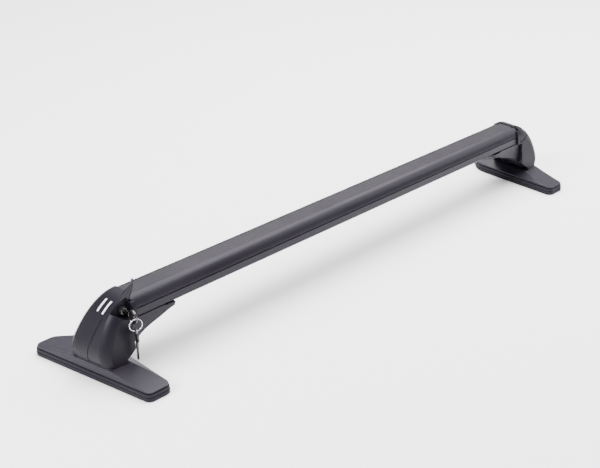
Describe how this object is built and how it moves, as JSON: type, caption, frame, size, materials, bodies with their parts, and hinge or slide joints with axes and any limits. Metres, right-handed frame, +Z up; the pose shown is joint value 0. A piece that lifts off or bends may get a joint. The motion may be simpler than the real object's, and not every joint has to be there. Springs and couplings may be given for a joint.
{
  "type": "roof rack crossbar",
  "caption": "Lockable roof rack crossbar on two low feet: flat-topped aluminium bar with a rubber strip, cast arms, hollow tower covers, rubber pads, lock flaps and keys.",
  "frame": {"origin": "on the ground under the middle of the bar", "axes": "+X along the bar towards the right foot, -Y towards the lock side (the front in the picture), +Z up"},
  "size_m": [1.0556, 0.217, 0.1375],
  "materials": {
    "bar": "satin charcoal coating",
    "strip": "matte",
    "pad": "matte",
    "base": "fine grain",
    "arm": "satin charcoal coating on a casting",
    "cover": "fine grain",
    "stripe": "smooth white inlay",
    "lock": "black plated",
    "plug": "nickel plated",
    "steel": "zinc plated",
    "key": "nickel plated",
    "ring": "polished"
  },
  "bodies": {
    "root": {"crossbar": "bar", "top_strip": "strip", "left_pad": "pad", "left_base": "base", "left_arm": "arm", "left_arm_foot": "arm", "left_bar_bolts": "steel", "left_bar_nuts": "steel", "left_foot_screws": "steel", "left_cover": "cover", "left_stripes": "stripe", "left_lock_body": "lock", "left_flap_pin": "steel", "right_pad": "pad", "right_base": "base", "right_arm": "arm", "right_arm_foot": "arm", "right_bar_bolts": "steel", "right_bar_nuts": "steel", "right_foot_screws": "steel", "right_cover": "cover", "right_stripes": "stripe", "right_lock_body": "lock", "right_flap_pin": "steel"},
    "left_plug": {"left_lock_plug": "plug", "left_lock_cam": "steel", "left_cam_screw": "steel"},
    "right_plug": {"right_lock_plug": "plug", "right_lock_cam": "steel", "right_cam_screw": "steel"},
    "left_flap": {"left_flap": "cover"},
    "right_flap": {"right_flap": "cover"},
    "key": {"key": "key"},
    "key_ring": {"key_ring": "ring"},
    "spare_key": {"spare_key": "key"}
  },
  "joints": [
    {"name": "left_lock_turn", "type": "hinge", "parent": "root", "child": "left_plug", "pos_m": [-0.4565, -0.01, 0.095], "axis": [0, 1, 0], "range_deg": [0, 90]},
    {"name": "right_lock_turn", "type": "hinge", "parent": "root", "child": "right_plug", "pos_m": [0.4565, -0.01, 0.095], "axis": [0, -1, 0], "range_deg": [0, 90]},
    {"name": "left_flap_hinge", "type": "hinge", "parent": "root", "child": "left_flap", "pos_m": [-0.4475, -0.0185, 0.1095], "axis": [0, 1, 0], "range_deg": [-45, 0]},
    {"name": "right_flap_hinge", "type": "hinge", "parent": "root", "child": "right_flap", "pos_m": [0.4475, -0.0185, 0.1095], "axis": [0, -1, 0], "range_deg": [0, 136]},
    {"name": "key_pull", "type": "slide", "parent": "left_plug", "child": "key", "axis": [0, -1, 0], "range_m": [0, 0.022]},
    {"name": "ring_swing", "type": "hinge", "parent": "key", "child": "key_ring", "pos_m": [-0.4565, -0.0474, 0.09325], "axis": [0.9397, -0.342, 0], "range_deg": [-40, 2]},
    {"name": "spare_key_swing", "type": "hinge", "parent": "key_ring", "child": "spare_key", "pos_m": [-0.4565, -0.0474, 0.07485], "axis": [0.9397, -0.342, 0], "range_deg": [-40, 3]}
  ]
}
